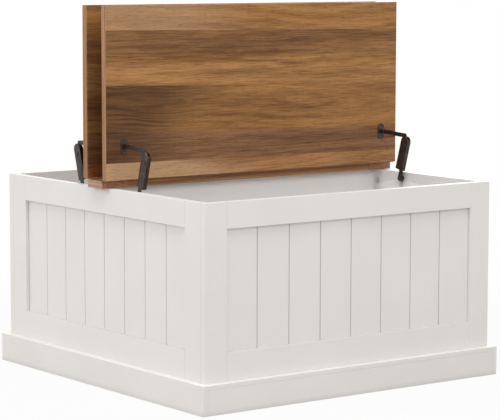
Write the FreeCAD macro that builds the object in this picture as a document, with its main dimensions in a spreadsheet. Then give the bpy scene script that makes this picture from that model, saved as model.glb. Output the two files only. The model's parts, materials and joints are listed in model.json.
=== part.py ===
"""Square storage coffee table: a panelled box on a plinth, with two lids hinged to a centre bar.

The rest pose has both lids standing open. The origin is on the floor under the middle of the table,
X runs along the front, Y runs to the back and Z is up. The table looks the same after half a turn about
Z, so every back piece is a front piece turned by 180 degrees.
"""
import FreeCAD, Part
import math
import os
import re

import Sketcher
from FreeCAD import Placement, Rotation, Vector

# Driving dimensions, in millimetres and counts.
DIMENSIONS = {
    # Top, body and plinth
    "top_side": 800,
    "top_thick": 16,
    "bar_width": 55,
    "seam_gap": 2,
    "body_side": 770,
    "body_height": 368,
    "plinth_height": 63,
    "base_thick": 10,
    "skirt_thick": 12,
    "divider_thick": 16,
    # Frame and panel walls
    "frame_thick": 16,
    "stile_width": 55,
    "top_rail": 55,
    "bottom_rail": 60,
    "rebate_width": 10,
    "panel_thick": 8,
    "panel_boards": 8,
    "groove_width": 3,
    "groove_depth": 2,
    "tenon_thick": 6,
    "tenon_length": 12,
    "tenon_shoulder": 6,
    # Butt hinges in the seams of the top
    "axis_rise": 1,
    "hinge_offset": 366,
    "leaf_length": 60,
    "leaf_thick": 0.9,
    "leaf_drop": 14.5,
    "knuckle_radius": 2.5,
    "knuckle_count": 5,
    "knuckle_gap": 0.3,
    "knuckle_room": 0.4,
    "hinge_pin_radius": 1.25,
    "running_room": 0.05,
    # Folding stays: pivots measured from the hinge axis of the open lid
    "lid_pivot_forward": 25,
    "lid_pivot_rise": 74,
    "wall_pivot_forward": 80,
    "wall_pivot_drop": 31,
    # Folding stays: how far each layer stands from the inner face of the wall
    "stud_reach": 7.4,
    "cheek_near": 7.6,
    "cheek_far": 17.2,
    "link_near": 10.9,
    "link_far": 13.4,
    "lug_near": 13.6,
    "lug_far": 17.1,
    "sheet_thick": 1.8,
    # Folding stays: sections and pivots
    "arm_depth": 23,
    "neck_length": 22,
    "neck_width": 12,
    "wall_eye_radius": 6.4,
    "arm_tip": 12,
    "link_width": 9.6,
    "link_bend_back": 12.5,
    "link_bend_rise": 23.3,
    "link_eye_radius": 5,
    "elbow_eye_radius": 5.5,
    "elbow_offset": 3.5,
    "elbow_room": 0.3,
    "rivet_radius": 2.5,
    "rivet_head_radius": 4.2,
    "rivet_head_thick": 1.2,
    "lid_pin_radius": 2.25,
    "flange_width": 17,
    "flange_length": 36,
    "flange_thick": 2,
    "flange_screw_offset": 11.5,
    "stud_radius": 6.4,
    "stud_head_radius": 4,
    "stud_head_thick": 0.8,
    "stud_spigot": 10,
    # Fasteners
    "screw_head_radius": 2.6,
    "screw_radius": 1.4,
    "screw_length": 13,
    "base_screw_head_radius": 4,
    "base_screw_radius": 2,
    "base_screw_length": 35,
    "base_screw_offset": 200,
    "cam_radius": 7.5,
    "cam_depth": 12.5,
    "cam_inset": 26,
    "cam_bar_offset": 20,
    "cam_corner_offset": 60,
    "cam_bolt_radius": 3,
    "cam_bolt_grip": 11,
}

HALF_TURN = Rotation(Vector(0, 0, 1), 180)
SIDES = {"front": Rotation(), "back": HALF_TURN}
DOC = FreeCAD.newDocument("storage_coffee_table")
NODES = {}


def make_sheet():
    """Write the driving dimensions into a spreadsheet, one alias to a row."""
    sheet = DOC.addObject("Spreadsheet::Sheet", "Dimensions")
    for row, (name, value) in enumerate(DIMENSIONS.items(), start=1):
        sheet.set(f"A{row}", name)
        sheet.set(f"B{row}", str(value))
        sheet.setAlias(f"B{row}", name)
    DOC.recompute()
    return sheet


SHEET = make_sheet()


def size(name):
    """Read one driving dimension from the sheet."""
    return float(getattr(SHEET, name))


def linked(text):
    """Point every dimension named in an expression at its cell."""
    names = "|".join(DIMENSIONS)
    return re.sub(rf"\b({names})\b", r"Dimensions.\1", text)


def bind(item, **expressions):
    """Bind properties of an object to the sheet; a double underscore stands for a dot."""
    for name, text in expressions.items():
        item.setExpression(name.replace("__", "."), linked(text))
    return item


def node(label, item):
    """Name a finished sub-part after the piece that it is."""
    item.Label = label
    NODES[label] = item
    return item


# Part primitives and booleans


def place_at(item, point):
    """Bind the position of an object to three expressions."""
    x, y, z = point
    return bind(item, Placement__Base__x=x, Placement__Base__y=y, Placement__Base__z=z)


def block(corner, extent):
    """A box from its low corner and its extent, both given as expressions."""
    item = DOC.addObject("Part::Box", "block")
    bind(item, Length=extent[0], Width=extent[1], Height=extent[2])
    return place_at(item, corner)


def rod(start, radius, length, axis):
    """A cylinder from the centre of its first end, along an axis."""
    item = DOC.addObject("Part::Cylinder", "rod")
    item.Placement.Rotation = Rotation(Vector(0, 0, 1), axis)
    bind(item, Radius=radius, Height=length)
    return place_at(item, start)


def compound(items):
    """Several objects as one, to cut or to fuse with."""
    item = DOC.addObject("Part::Compound", "compound")
    item.Links = items
    return item


def fused(items):
    """The union of several objects."""
    item = DOC.addObject("Part::MultiFuse", "fused")
    item.Shapes = items
    return item


def cut(base, tools):
    """One object with several others taken out of it."""
    item = DOC.addObject("Part::Cut", "cut")
    item.Base = base
    item.Tool = tools[0] if len(tools) == 1 else compound(tools)
    return item


def repeated(label, pattern, placements):
    """A group of identical solids, kept as separate solids of one sub-part."""
    DOC.recompute()
    item = DOC.addObject("Part::Feature", label)
    item.Shape = Part.Compound([pattern.Shape.transformed(place.toMatrix()) for place in placements])
    return item


# Bodies made of sketched features


def make_body(label):
    """An empty body."""
    return DOC.addObject("PartDesign::Body", label)


def sketch_on(body, role, offset="0"):
    """A sketch on one of the body's origin planes, shifted along the plane's normal."""
    plane = next(item for item in body.Origin.OriginFeatures if item.Role == role)
    sketch = body.newObject("Sketcher::SketchObject", "sketch")
    sketch.AttachmentSupport = [(plane, "")]
    sketch.MapMode = "FlatFace"
    return bind(sketch, AttachmentOffset__Base__z=offset)


def locate(sketch, geometry, point, place):
    """Fix a point of the sketch at a place given as two expressions."""
    for kind, text in zip(("DistanceX", "DistanceY"), place):
        index = sketch.addConstraint(Sketcher.Constraint(kind, -1, 1, geometry, point, 1.0))
        sketch.setExpression(f"Constraints[{index}]", linked(text))


def draw_outline(sketch, corners):
    """A closed outline of straight lines through the given corners."""
    count = len(corners)
    turn = 2 * math.pi / count
    start = [Vector(10 * math.cos(turn * step), 10 * math.sin(turn * step), 0) for step in range(count)]
    lines = [sketch.addGeometry(Part.LineSegment(start[i], start[(i + 1) % count])) for i in range(count)]
    for here, following in zip(lines, lines[1:] + lines[:1]):
        sketch.addConstraint(Sketcher.Constraint("Coincident", here, 2, following, 1))
    for line, corner in zip(lines, corners):
        locate(sketch, line, 1, corner)


def draw_circle(sketch, centre, radius):
    """A circle from its centre and radius."""
    circle = sketch.addGeometry(Part.Circle(Vector(0, 0, 0), Vector(0, 0, 1), 1))
    locate(sketch, circle, 3, centre)
    index = sketch.addConstraint(Sketcher.Constraint("Radius", circle, 1.0))
    sketch.setExpression(f"Constraints[{index}]", linked(radius))


def add_feature(body, kind, sketch, length):
    """A pad or a pocket of a sketch, along the sketch's normal."""
    feature = body.newObject(f"PartDesign::{kind}", kind.lower())
    feature.Profile = sketch
    feature.Reversed = kind == "Pocket"
    return bind(feature, Length=length)


def pad_outline(body, role, corners, length, offset="0"):
    """Add a prism over an outline."""
    sketch = sketch_on(body, role, offset)
    draw_outline(sketch, corners)
    return add_feature(body, "Pad", sketch, length)


def pad_circle(body, role, centre, radius, length, offset="0"):
    """Add a round boss."""
    sketch = sketch_on(body, role, offset)
    draw_circle(sketch, centre, radius)
    return add_feature(body, "Pad", sketch, length)


def pocket_outline(body, role, corners, length, offset="0"):
    """Take a prism over an outline away."""
    sketch = sketch_on(body, role, offset)
    draw_outline(sketch, corners)
    return add_feature(body, "Pocket", sketch, length)


def pocket_circle(body, role, centre, radius, length, offset="0"):
    """Drill a round hole."""
    sketch = sketch_on(body, role, offset)
    draw_circle(sketch, centre, radius)
    return add_feature(body, "Pocket", sketch, length)


def turn_outline(body, corners):
    """Turn an outline, drawn as distance along X and radius, about the X axis."""
    sketch = sketch_on(body, "XY_Plane")
    draw_outline(sketch, corners)
    feature = body.newObject("PartDesign::Revolution", "turned")
    feature.Profile = sketch
    feature.ReferenceAxis = (sketch, ["H_Axis"])
    feature.Angle = 360
    return feature


def rectangle(low, high):
    """The four corners of a rectangle between two corners."""
    return [low, (high[0], low[1]), high, (low[0], high[1])]


def straight_bar(start, end, width):
    """The four corners of a bar of even width between two points of its middle line."""
    run = f"({end[0]} - ({start[0]}))"
    rise = f"({end[1]} - ({start[1]}))"
    share = f"{width} / 2 / sqrt({run} ^ 2 + {rise} ^ 2)"
    aside = (f"{rise} * {share}", f"{run} * {share}")
    left = [(f"{y} - {aside[0]}", f"{z} + {aside[1]}") for y, z in (start, end)]
    right = [(f"{y} + {aside[0]}", f"{z} - {aside[1]}") for y, z in (end, start)]
    return left + right


# Places on the table


def wall_places():
    """Placement of each wall's own frame: X along it, Y inwards from its outer face, Z up."""
    half = size("body_side") / 2
    foot = size("plinth_height")
    return {
        "front": Placement(Vector(0, -half, foot), Rotation(Vector(0, 0, 1), 0)),
        "back": Placement(Vector(0, half, foot), HALF_TURN),
        "left": Placement(Vector(-half, 0, foot), Rotation(Vector(0, 0, 1), -90)),
        "right": Placement(Vector(half, 0, foot), Rotation(Vector(0, 0, 1), 90)),
    }


# For each wall: the names of the stiles at low and high X of its own frame, and its length.
WALLS = {
    "front": ("left", "right", "body_side"),
    "back": ("right", "left", "body_side"),
    "left": ("back", "front", "(body_side - 2 * frame_thick)"),
    "right": ("front", "back", "(body_side - 2 * frame_thick)"),
}


def rim_height():
    """Height of the body's rim, which the lids and the bar rest on."""
    return size("plinth_height") + size("body_height")


def inner_half():
    """Distance from the middle of the table to the inner face of a wall."""
    return size("body_side") / 2 - size("frame_thick")


def hinge_axis():
    """A point on the front lid's hinge axis."""
    across = size("bar_width") / 2 + size("seam_gap") / 2
    return Vector(0, -across, rim_height() + size("top_thick") + size("axis_rise"))


def side_place(side, point=Vector(), rotation=Rotation()):
    """A placement given for the front, turned to the side that it is wanted on."""
    return Placement(Vector(), SIDES[side]).multiply(Placement(point, rotation))


def lid_place(side):
    """Placement of a lid's own frame: drawn closed with the hinge axis along X, then opened."""
    return side_place(side, hinge_axis(), Rotation(Vector(1, 0, 0), -90))


def handed(side, hand):
    """Left or right, for a hand of the front: +1 at the left wall and -1 at the right wall."""
    return "left" if (hand > 0) == (side == "front") else "right"


# Plinth


def make_plinth(base_screws):
    """Base board, side skirts over the full depth, and front and back skirts between them."""
    half = "top_side / 2"
    inside = "(top_side - 2 * skirt_thick)"
    board_corner = (f"-{inside} / 2", f"-{half}", "plinth_height - base_thick")
    board = block(board_corner, (inside, "top_side", "base_thick"))
    node("base_board", cut(board, [base_screws]))
    side_extent = ("skirt_thick", "top_side", "plinth_height")
    node("left_skirt", block((f"-{half}", f"-{half}", "0"), side_extent))
    node("right_skirt", block((f"{half} - skirt_thick", f"-{half}", "0"), side_extent))
    end_extent = (inside, "skirt_thick", "plinth_height - base_thick")
    node("front_skirt", block((f"-{inside} / 2", f"-{half}", "0"), end_extent))
    node("back_skirt", block((f"-{inside} / 2", f"{half} - skirt_thick", "0"), end_extent))


# Walls

# Where a panel sits in the rebates of its frame, above the foot of the wall.
PANEL_FOOT = "bottom_rail - rebate_width"
PANEL_HEIGHT = "body_height - top_rail - bottom_rail + 2 * rebate_width"


def make_stile(length, end):
    """A full-height stile with a stopped rebate for the panel and a mortise for each rail."""
    outer = f"-{length} / 2" if end < 0 else f"{length} / 2 - stile_width"
    inner = f"-{length} / 2 + stile_width" if end < 0 else f"{length} / 2 - stile_width"
    rebate_start = f"{inner} - rebate_width" if end < 0 else inner
    mortise_start = f"{inner} - tenon_length" if end < 0 else inner
    tenon_y = "(frame_thick - tenon_thick) / 2"
    bare = block((outer, "0", "0"), ("stile_width", "frame_thick", "body_height"))
    rebate = block((rebate_start, "frame_thick - panel_thick", PANEL_FOOT),
                   ("rebate_width", "panel_thick", PANEL_HEIGHT))
    low_mortise = block((mortise_start, tenon_y, "tenon_shoulder"),
                        ("tenon_length", "tenon_thick", "bottom_rail - rebate_width - 2 * tenon_shoulder"))
    high_mortise = block((mortise_start, tenon_y, "body_height - top_rail + rebate_width + tenon_shoulder"),
                         ("tenon_length", "tenon_thick", "top_rail - rebate_width - 2 * tenon_shoulder"))
    return cut(bare, [rebate, low_mortise, high_mortise])


def make_rail(length, foot, height, rebate_foot, tenon_foot):
    """A rail between the stiles, with a rebate along the panel's edge and a stub tenon at each end."""
    half = f"({length} / 2 - stile_width)"
    tenon_height = f"{height} - rebate_width - 2 * tenon_shoulder"
    bare = block((f"-{half}", "0", foot), (f"2 * {half}", "frame_thick", height))
    rebate = block((f"-{half}", "frame_thick - panel_thick", rebate_foot),
                   (f"2 * {half}", "panel_thick", "rebate_width"))
    tenon = block((f"-{half} - tenon_length", "(frame_thick - tenon_thick) / 2", tenon_foot),
                  (f"2 * {half} + 2 * tenon_length", "tenon_thick", tenon_height))
    return fused([cut(bare, [rebate]), tenon])


def make_panel(label, length):
    """A thin panel in the rebate, with V grooves that divide its visible field into boards."""
    half = f"({length} / 2 - stile_width)"
    face = "frame_thick - panel_thick"
    board = f"(2 * {half} / panel_boards)"
    body = make_body(label)
    sheet = rectangle((f"-{half} - rebate_width", face), (f"{half} + rebate_width", "frame_thick"))
    pad_outline(body, "XY_Plane", sheet, PANEL_HEIGHT, PANEL_FOOT)
    first = f"-{half} + {board}"
    groove = pocket_outline(body, "XY_Plane", [
        (f"{first} - groove_width / 2", face),
        (f"{first} + groove_width / 2", face),
        (first, f"{face} + groove_depth"),
    ], PANEL_HEIGHT, PANEL_FOOT)
    grooves = body.newObject("PartDesign::LinearPattern", "grooves")
    grooves.Originals = [groove]
    grooves.Direction = (groove.Profile[0], ["H_Axis"])
    grooves.Mode = "Extent"
    grooves.Occurrences = int(size("panel_boards")) - 1
    bind(grooves, Length=f"{board} * (panel_boards - 2)", Occurrences="panel_boards - 1")
    body.Tip = grooves
    return body


def make_wall(wall, place, fittings):
    """The five pieces of one wall, with holes for the fittings that pass through them."""
    low_name, high_name, length = WALLS[wall]
    top_foot = "body_height - top_rail"
    top_tenon_foot = f"{top_foot} + rebate_width + tenon_shoulder"
    pieces = {
        f"{low_name}_stile": make_stile(length, -1),
        f"{high_name}_stile": make_stile(length, 1),
        "top_rail": make_rail(length, top_foot, "top_rail", top_foot, top_tenon_foot),
        "bottom_rail": make_rail(length, "0", "bottom_rail", PANEL_FOOT, "tenon_shoulder"),
    }
    for name, piece in pieces.items():
        piece.Placement = place
        node(f"{wall}_{name}", cut(piece, [fittings]))
    panel = make_panel(f"{wall}_panel", length)
    panel.Placement = place
    node(f"{wall}_panel", panel)


# Fasteners


def make_screw(label, head_radius, radius, length):
    """A countersunk screw along X, with its head's flat face at the origin."""
    body = make_body(label)
    turn_outline(body, [
        ("0", "0"),
        ("0", head_radius),
        (f"{head_radius} - {radius}", radius),
        (f"{length} - {radius}", radius),
        (length, "0"),
    ])
    return body


def make_cam_bolt():
    """A plain cam bolt along X, from the middle of its cam at the origin to its end in the next board."""
    return rod(("0", "0", "0"), "cam_bolt_radius", "cam_inset + cam_bolt_grip", Vector(1, 0, 0))


def cam_places():
    """Placement of each cam bolt: its X axis runs from the cam to the board that it holds."""
    places = []
    depth = inner_half() + size("cam_depth") / 2
    bar_height = rim_height() - size("cam_inset")
    corner_along = inner_half() - size("cam_inset")
    low = size("plinth_height") + size("cam_corner_offset")
    high = rim_height() - size("cam_corner_offset")
    upwards = Rotation(Vector(1, 0, 0), Vector(0, 0, 1))
    for end in (-1, 1):
        for way in (-1, 1):
            bar_point = Vector(end * depth, way * size("cam_bar_offset"), bar_height)
            places.append(Placement(bar_point, upwards))
            outwards = Rotation(Vector(1, 0, 0), Vector(0, way, 0))
            for height in (low, high):
                places.append(Placement(Vector(end * depth, way * corner_along, height), outwards))
    return places


def make_cams():
    """Cam locks in the inner faces of the side walls, and the bolts that they draw in."""
    bolts = node("cam_bolts", repeated("cam_bolts", make_cam_bolt(), cam_places()))
    disc = rod(("-cam_depth / 2", "0", "0"), "cam_radius", "cam_depth", Vector(1, 0, 0))
    discs = repeated("cam_discs", disc, [Placement(place.Base, Rotation()) for place in cam_places()])
    locks = node("cam_locks", cut(discs, [bolts]))
    return locks, bolts


def make_base_screws():
    """Screws up through the base board into the bottom rails and the divider."""
    screw = make_screw("base_screw", "base_screw_head_radius", "base_screw_radius", "base_screw_length")
    upwards = Rotation(Vector(1, 0, 0), Vector(0, 0, 1))
    foot = size("plinth_height") - size("base_thick")
    along = size("base_screw_offset")
    middle = size("body_side") / 2 - size("frame_thick") / 4 * 3
    points = [Vector(x, y, foot) for x in (-along, along) for y in (-middle, 0, middle)]
    points += [Vector(x, y, foot) for x in (-middle, middle) for y in (-along, along)]
    places = [Placement(point, upwards) for point in points]
    return node("base_screws", repeated("base_screws", screw, places))


# Hinges


def leaf_screw_offsets():
    """Distances of a leaf's screws from the middle of the leaf."""
    third = size("leaf_length") / 3
    return (-third, 0.0, third)


def hinge_offsets():
    """Distances of the two hinges of a seam from the middle of the table."""
    return (-size("hinge_offset"), size("hinge_offset"))


def make_leaf(label, parity, bore):
    """A hinge leaf drawn closed, with its axis along X, its plate below and its own knuckles.

    The plate lies towards +Y for the bar leaf, which has the even knuckles, and towards -Y for the lid
    leaf, which has the odd ones.
    """
    body = make_body(label)
    sign = "" if parity == 0 else "-"
    faces = (f"{sign}(seam_gap / 2 - leaf_thick)", f"{sign}seam_gap / 2")
    clear = "-(knuckle_radius + knuckle_room)"
    pad_outline(body, "YZ_Plane", rectangle((faces[0], "-leaf_drop"), (faces[1], clear)),
                "leaf_length", "-leaf_length / 2")
    pitch = "(leaf_length / knuckle_count)"
    length = f"{pitch} - knuckle_gap"
    for index in range(parity, int(size("knuckle_count")), 2):
        start = f"-leaf_length / 2 + {index} * {pitch} + knuckle_gap / 2"
        pad_outline(body, "YZ_Plane", rectangle((faces[0], clear), (faces[1], "0")), length, start)
        pad_circle(body, "YZ_Plane", ("0", "0"), "knuckle_radius", length, start)
    pocket_circle(body, "YZ_Plane", ("0", "0"), bore, "leaf_length", "-leaf_length / 2")
    return body


def make_hinges(screw):
    """Leaves, pins and screws of the four hinges; gives back what the bar and the lids are cut with."""
    bar_leaf = make_leaf("bar_leaf", 0, "hinge_pin_radius")
    lid_leaf = make_leaf("lid_leaf", 1, "hinge_pin_radius + running_room")
    pin = rod(("-leaf_length / 2", "0", "0"), "hinge_pin_radius", "leaf_length", Vector(1, 0, 0))
    leaf_middle = -(size("leaf_drop") + size("knuckle_radius") + size("knuckle_room")) / 2
    face = size("seam_gap") / 2 - size("leaf_thick")
    axis = hinge_axis()
    into_bar = Rotation(Vector(1, 0, 0), Vector(0, 1, 0))
    into_lid = Rotation(Vector(1, 0, 0), Vector(0, -1, 0))
    spots = []
    for offset in hinge_offsets():
        spots += [Vector(offset + step, 0, leaf_middle) for step in leaf_screw_offsets()]
    lid_screw_places = [Placement(spot + Vector(0, -face, 0), into_lid) for spot in spots]
    bar_screw_places = []
    leaf_places = {}
    for side in SIDES:
        bar_screw_places += [side_place(side, axis + spot + Vector(0, face, 0), into_bar) for spot in spots]
        leaf_places[side] = [side_place(side, axis + Vector(offset, 0, 0)) for offset in hinge_offsets()]
    bar_screws = node("bar_hinge_screws", repeated("bar_hinge_screws", screw, bar_screw_places))
    node("hinge_pins", repeated("hinge_pins", pin, leaf_places["front"] + leaf_places["back"]))
    for side, places in leaf_places.items():
        bare = repeated(f"{side}_bar_leaves", bar_leaf, places)
        node(f"{side}_hinge_bar_leaves", cut(bare, [bar_screws]))
    return bar_screws, lid_leaf, lid_screw_places


def knuckle_rooms(axis_points):
    """Round notches that give the knuckles room in the edges of the boards."""
    rooms = []
    radius = "knuckle_radius + knuckle_room"
    length = "leaf_length + 2 * knuckle_room"
    for point in axis_points:
        start = (f"{point.x} - leaf_length / 2 - knuckle_room", str(point.y), str(point.z))
        rooms.append(rod(start, radius, length, Vector(1, 0, 0)))
    return rooms


# Top and divider


def make_bar(bar_screws, cam_bolts):
    """The fixed bar across the middle of the rim, notched for the knuckles."""
    corner = ("-top_side / 2", "-bar_width / 2", "plinth_height + body_height")
    blank = block(corner, ("top_side", "bar_width", "top_thick"))
    points = []
    for turn in SIDES.values():
        points += [turn.multVec(hinge_axis() + Vector(offset, 0, 0)) for offset in hinge_offsets()]
    node("centre_bar", cut(blank, knuckle_rooms(points) + [bar_screws, cam_bolts]))


def make_divider(base_screws):
    """The upright board under the bar that parts the two compartments."""
    half = "(body_side / 2 - frame_thick)"
    corner = (f"-{half}", "-divider_thick / 2", "plinth_height")
    blank = block(corner, (f"2 * {half}", "divider_thick", "body_height"))
    node("centre_divider", cut(blank, [base_screws]))


def make_lids(screw, lid_leaf, hinge_screw_places):
    """Both lids with their hinge leaves and all their screws, drawn closed and then opened."""
    depth = "(top_side / 2 - bar_width / 2 - seam_gap)"
    back_edge = "-seam_gap / 2"
    blank = make_body("lid_blank")
    sheet = rectangle(("-top_side / 2", f"{back_edge} - {depth}"), ("top_side / 2", back_edge))
    pad_outline(blank, "XY_Plane", sheet, "top_thick", "-axis_rise - top_thick")
    hinge_points = [Vector(offset, 0, 0) for offset in hinge_offsets()]
    rooms = knuckle_rooms(hinge_points)
    screw_places = hinge_screw_places + flange_screw_places()
    screws = repeated("lid_screws", screw, screw_places)
    leaves = repeated("lid_leaves", lid_leaf, [Placement(point, Rotation()) for point in hinge_points])
    for side in SIDES:
        place = lid_place(side)
        pieces = {
            f"{side}_lid": cut(blank, rooms + [screws]),
            f"{side}_hinge_lid_leaves": cut(leaves, [screws]),
            f"{side}_lid_screws": repeated(f"{side}_lid_screws", screw, screw_places),
        }
        for label, piece in pieces.items():
            piece.Placement = place
            node(label, piece)
    return screws


# Stays


def layer(hand, near, far):
    """Start and thickness along X of a layer between two distances from the wall."""
    start = near if hand > 0 else f"-({far})"
    return start, f"({far}) - ({near})"


def flange_centre(hand):
    """X of a stay's flange on the lid."""
    reach = (size("link_near") + size("lug_far")) / 2
    return -hand * (inner_half() - reach)


def flange_screw_places():
    """Placement of the flange screws in the lid's own frame."""
    into_lid = Rotation(Vector(1, 0, 0), Vector(0, 0, 1))
    face = -size("axis_rise") - size("top_thick") - size("flange_thick")
    offset = size("flange_screw_offset")
    along = [-size("lid_pivot_rise") - offset, -size("lid_pivot_rise") + offset]
    return [Placement(Vector(flange_centre(hand), y, face), into_lid) for hand in (1, -1) for y in along]


def make_flange(label, hand):
    """A round-ended flange under the lid, drawn closed, with a lug and a pin for the link."""
    body = make_body(label)
    wall = f"{-hand} * (body_side / 2 - frame_thick)"
    centre = f"{wall} + {hand} * (link_near + lug_far) / 2"
    face = "-(axis_rise + top_thick + flange_thick)"
    pivot = ("-lid_pivot_rise", "-lid_pivot_forward")
    straight = "(flange_length - flange_width) / 2"
    low = (f"{centre} - flange_width / 2", f"-lid_pivot_rise - {straight}")
    high = (f"{centre} + flange_width / 2", f"-lid_pivot_rise + {straight}")
    pad_outline(body, "XY_Plane", rectangle(low, high), "flange_thick", face)
    for end in (low[1], high[1]):
        pad_circle(body, "XY_Plane", (centre, end), "flange_width / 2", "flange_thick", face)
    start, thick = layer(hand, "lug_near", "lug_far")
    lug_low = ("-lid_pivot_rise - link_eye_radius", pivot[1])
    lug_high = ("-lid_pivot_rise + link_eye_radius", face)
    pad_outline(body, "YZ_Plane", rectangle(lug_low, lug_high), thick, f"{wall} + {start}")
    pad_circle(body, "YZ_Plane", pivot, "link_eye_radius", thick, f"{wall} + {start}")
    start, thick = layer(hand, "link_near", "lug_far")
    pad_circle(body, "YZ_Plane", pivot, "lid_pin_radius", thick, f"{wall} + {start}")
    return body


def make_link(label, hand):
    """The thin link, from its lid eye at the origin, over a bend, down to its elbow eye level at -Y."""
    body = make_body(label)
    start, thick = layer(hand, "link_near", "link_far")
    elbow = ("-sqrt(wall_pivot_forward ^ 2 + wall_pivot_drop ^ 2)", "0")
    bend = (f"{elbow[0]} + link_bend_back", "link_bend_rise")
    pad_outline(body, "YZ_Plane", straight_bar(("0", "0"), bend, "link_width"), thick, start)
    pad_outline(body, "YZ_Plane", straight_bar(bend, elbow, "link_width"), thick, start)
    pad_circle(body, "YZ_Plane", bend, "link_width / 2", thick, start)
    pad_circle(body, "YZ_Plane", ("0", "0"), "link_eye_radius", thick, start)
    pad_circle(body, "YZ_Plane", elbow, "elbow_eye_radius", thick, start)
    pocket_circle(body, "YZ_Plane", ("0", "0"), "lid_pin_radius + running_room", thick, start)
    pocket_circle(body, "YZ_Plane", elbow, "rivet_radius + elbow_room", thick, start)
    return body


def arm_elbow():
    """The elbow in the arm's own frame, off the middle of the channel towards its closed side."""
    return "-elbow_offset", "sqrt(lid_pivot_forward ^ 2 + lid_pivot_rise ^ 2 - elbow_offset ^ 2)"


def make_arm(label, hand):
    """The channel arm, drawn upright from its wall eye at the origin, open towards the lid at +Y."""
    body = make_body(label)
    start, thick = layer(hand, "cheek_near", "cheek_far")
    elbow = arm_elbow()
    half = "arm_depth / 2"
    tip = ("0", f"{elbow[1]} + arm_tip")
    pad_outline(body, "YZ_Plane", rectangle((f"-{half}", "neck_length"), (half, tip[1])), thick, start)
    pad_circle(body, "YZ_Plane", tip, half, thick, start)
    near, thick = layer(hand, "cheek_near + sheet_thick", "cheek_far - sheet_thick")
    hollow_low = (f"-{half} + sheet_thick", "neck_length - 1")
    hollow_high = (f"{half} + 1", f"{tip[1]} + {half} + 1")
    pocket_outline(body, "YZ_Plane", rectangle(hollow_low, hollow_high), thick, near)
    near, thick = layer(hand, "cheek_near", "cheek_near + sheet_thick")
    neck = rectangle(("-neck_width / 2", "0"), ("neck_width / 2", "neck_length"))
    pad_outline(body, "YZ_Plane", neck, thick, near)
    pad_circle(body, "YZ_Plane", ("0", "0"), "wall_eye_radius", thick, near)
    pocket_circle(body, "YZ_Plane", ("0", "0"), "rivet_radius + running_room", thick, near)
    start, thick = layer(hand, "cheek_near", "cheek_far")
    pocket_circle(body, "YZ_Plane", elbow, "rivet_radius", thick, start)
    return body


def make_rivet(label, hand):
    """The elbow rivet through both cheeks of the channel, drawn in the arm's own frame."""
    body = make_body(label)
    elbow = arm_elbow()
    low_end = "cheek_near - rivet_head_thick"
    high_end = "cheek_far + rivet_head_thick"
    lengths = {
        "rivet_radius": [(low_end, high_end)],
        "rivet_head_radius": [(low_end, "cheek_near"), ("cheek_far", high_end)],
    }
    for radius, layers in lengths.items():
        for near, far in layers:
            start, thick = layer(hand, near, far)
            pad_circle(body, "YZ_Plane", elbow, radius, thick, start)
    return body


def make_studs():
    """The four turned studs that the channel arms swing on, each with a spigot in its wall."""
    body = make_body("stud")
    neck_end = "cheek_near + sheet_thick + 0.1"
    turn_outline(body, [
        ("-stud_spigot", "0"),
        ("-stud_spigot", "rivet_radius"),
        ("0", "rivet_radius"),
        ("0", "stud_radius"),
        ("stud_reach", "stud_radius"),
        ("stud_reach", "rivet_radius"),
        (neck_end, "rivet_radius"),
        (neck_end, "stud_head_radius"),
        (f"{neck_end} + stud_head_thick", "stud_head_radius"),
        (f"{neck_end} + stud_head_thick", "0"),
    ])
    places = []
    for side in SIDES:
        for hand in (1, -1):
            facing = Rotation(Vector(1, 0, 0), Vector(hand, 0, 0))
            places.append(side_place(side, wall_pivot(hand), facing))
    return node("stay_wall_studs", repeated("stay_wall_studs", body, places))


def wall_pivot(hand):
    """The front wall pivot of one hand, on the inner face of its wall."""
    away = Vector(-hand * inner_half(), -size("wall_pivot_forward"), -size("wall_pivot_drop"))
    return hinge_axis() + away


def lid_pivot(hand):
    """The front lid pivot of one hand with the lid open, on the inner face of its wall."""
    away = Vector(-hand * inner_half(), -size("lid_pivot_forward"), size("lid_pivot_rise"))
    return hinge_axis() + away


def make_stays(lid_screws):
    """Flange, link, channel arm and rivet of each stay.

    The wall pivot, elbow and lid pivot make a parallelogram with the hinge axis, so the arm turns as far
    as the lid does and the link keeps its slope.
    """
    reach = math.hypot(size("lid_pivot_forward"), size("lid_pivot_rise"))
    lean = math.degrees(math.atan2(size("lid_pivot_forward"), size("lid_pivot_rise")))
    lean -= math.degrees(math.asin(size("elbow_offset") / reach))
    slope = math.degrees(math.atan2(size("wall_pivot_drop"), size("wall_pivot_forward")))
    for side in SIDES:
        for hand in (1, -1):
            name = f"{side}_{handed(side, hand)}_stay"
            flange = cut(make_flange(f"{name}_flange_blank", hand), [lid_screws])
            flange.Placement = lid_place(side)
            node(f"{name}_flange", flange)
            link = make_link(f"{name}_link", hand)
            link.Placement = side_place(side, lid_pivot(hand), Rotation(Vector(1, 0, 0), slope))
            node(f"{name}_link", link)
            upright = side_place(side, wall_pivot(hand), Rotation(Vector(1, 0, 0), lean))
            for piece, make in (("arm", make_arm), ("rivet", make_rivet)):
                body = make(f"{name}_{piece}", hand)
                body.Placement = upright
                node(f"{name}_{piece}", body)


# Assembly, checks and files


def build_table():
    """Make every sub-part."""
    base_screws = make_base_screws()
    make_plinth(base_screws)
    studs = make_studs()
    locks, bolts = make_cams()
    fittings = compound([locks, bolts, studs, base_screws])
    for wall, place in wall_places().items():
        make_wall(wall, place, fittings)
    make_divider(base_screws)
    screw = make_screw("screw", "screw_head_radius", "screw_radius", "screw_length")
    bar_screws, lid_leaf, hinge_screw_places = make_hinges(screw)
    make_bar(bar_screws, bolts)
    lid_screws = make_lids(screw, lid_leaf, hinge_screw_places)
    make_stays(lid_screws)
    DOC.recompute()


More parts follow.
